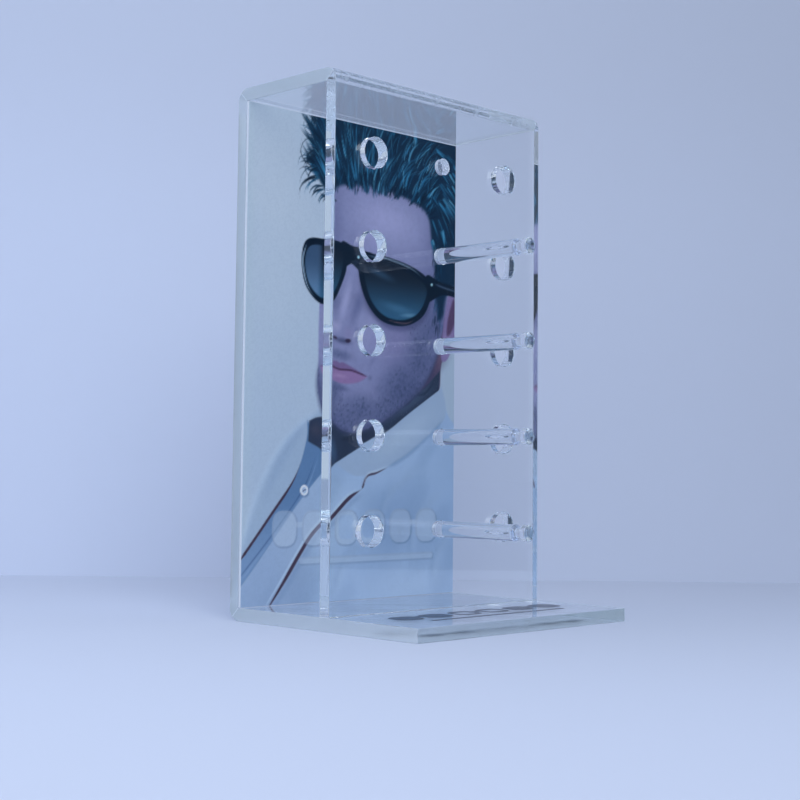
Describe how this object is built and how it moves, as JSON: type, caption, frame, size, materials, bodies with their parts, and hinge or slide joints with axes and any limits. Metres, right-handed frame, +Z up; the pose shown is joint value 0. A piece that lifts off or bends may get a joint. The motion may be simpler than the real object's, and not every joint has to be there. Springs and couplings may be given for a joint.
{
  "type": "eyeglass display rack",
  "caption": "Clear acrylic countertop rack for a column of glasses: plug-in nose pegs and temple holes in a tall open-sided loop of bonded sheet on a wide base, backed by a picture.",
  "frame": {"origin": "centre of the base's underside, which is the bottom centre of the bounding box", "axes": "+X to the right of someone facing the rack, +Y from its front to its back, +Z up"},
  "size_m": [0.225, 0.195, 0.4],
  "materials": {
    "clear_acrylic_sheet": "clear, polished faces and edges",
    "clear_acrylic_rod": "clear, turned and polished, with a dry plugged end",
    "solvent_cement": "milky thin bond line",
    "white_board": "smooth white",
    "printed_film": "satin colour print",
    "clear_tape": "double-sided adhesive",
    "dark_vinyl": "cut matte vinyl"
  },
  "bodies": {
    "rack": {"base_plate": "clear_acrylic_sheet", "back_panel": "clear_acrylic_sheet", "top_panel": "clear_acrylic_sheet", "front_panel": "clear_acrylic_sheet", "bond_base_to_back": "solvent_cement", "bond_back_to_top": "solvent_cement", "bond_top_to_front": "solvent_cement", "bond_front_to_base": "solvent_cement", "graphic_board": "white_board", "printed_film": "printed_film", "mounting_tape": "clear_tape", "base_decal": "dark_vinyl"},
    "peg_1": {"nose_peg_1": "clear_acrylic_rod"},
    "peg_2": {"nose_peg_2": "clear_acrylic_rod"},
    "peg_3": {"nose_peg_3": "clear_acrylic_rod"},
    "peg_4": {"nose_peg_4": "clear_acrylic_rod"}
  },
  "joints": [
    {"name": "peg_1_pull", "type": "slide", "parent": "rack", "child": "peg_1", "axis": [0, -1, 0], "range_m": [0, 0.012]},
    {"name": "peg_2_pull", "type": "slide", "parent": "rack", "child": "peg_2", "axis": [0, -1, 0], "range_m": [0, 0.012]},
    {"name": "peg_3_pull", "type": "slide", "parent": "rack", "child": "peg_3", "axis": [0, -1, 0], "range_m": [0, 0.012]},
    {"name": "peg_4_pull", "type": "slide", "parent": "rack", "child": "peg_4", "axis": [0, -1, 0], "range_m": [0, 0.012]}
  ]
}
